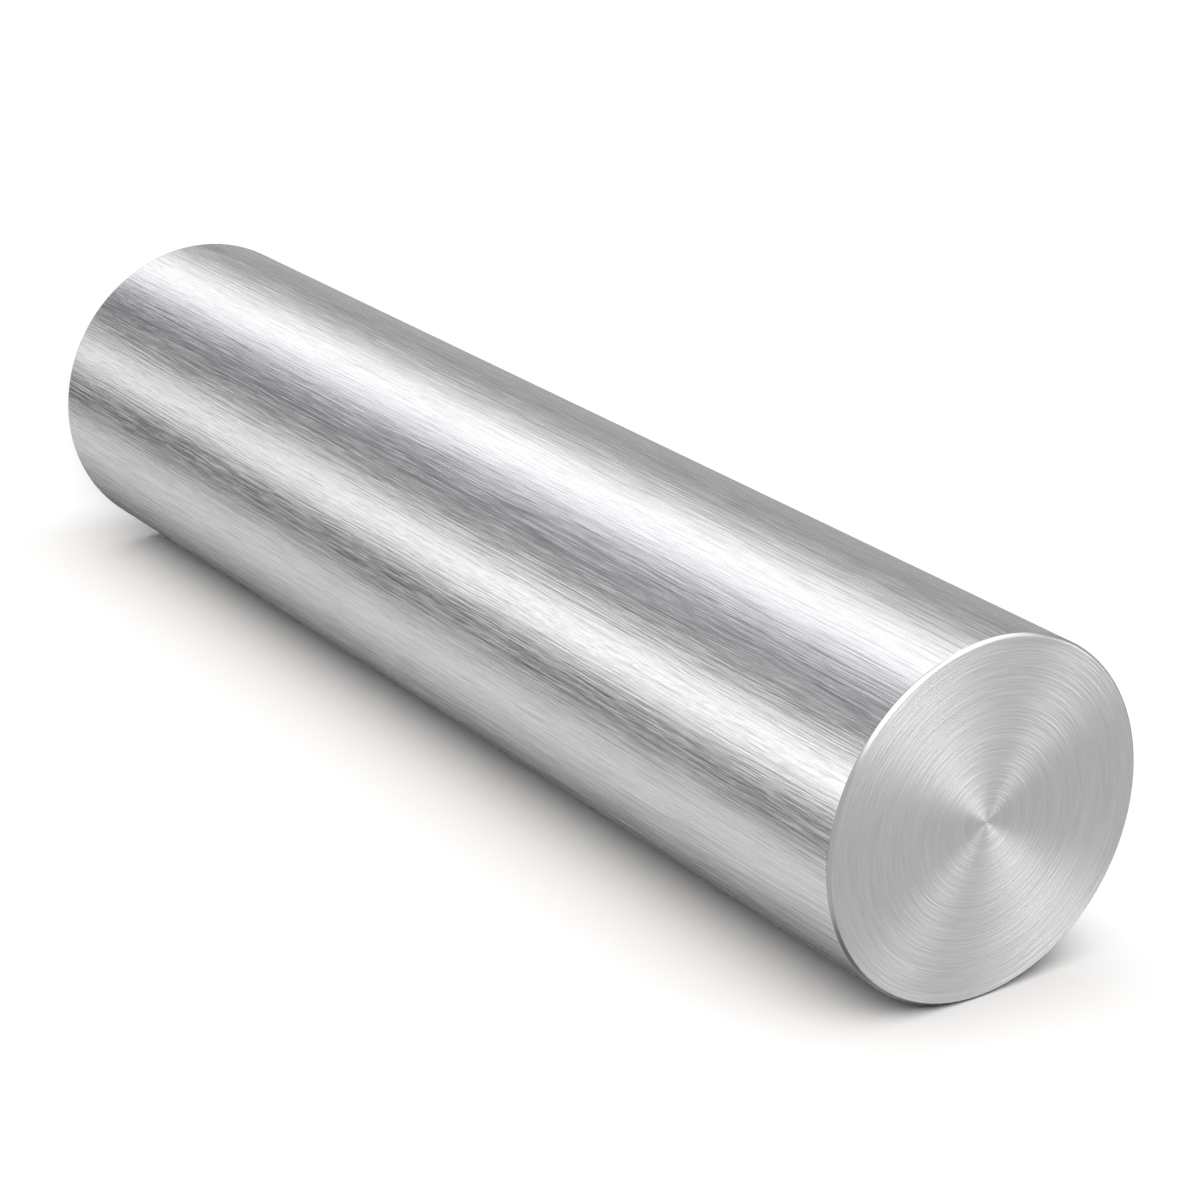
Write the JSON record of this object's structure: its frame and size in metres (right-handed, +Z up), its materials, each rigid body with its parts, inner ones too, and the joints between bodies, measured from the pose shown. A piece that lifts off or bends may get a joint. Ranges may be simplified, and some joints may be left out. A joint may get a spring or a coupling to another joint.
{
  "type": "round metal bar",
  "caption": "Solid round metal bar, cut short, brushed along its length, with flat turned ends and a small chamfer round each.",
  "frame": {"origin": "centre of the bottom end face, on the floor that the bar stands on", "axes": "+Z up along the bar's axis, +X and +Y across it; the bar is the same all round"},
  "size_m": [0.06, 0.06, 0.25],
  "materials": {
    "brushed_metal": "bright silver, brushed along the length on the barrel, fine concentric turning lines on both end faces"
  },
  "bodies": {
    "root": {"round_bar": "brushed_metal"}
  },
  "joints": []
}
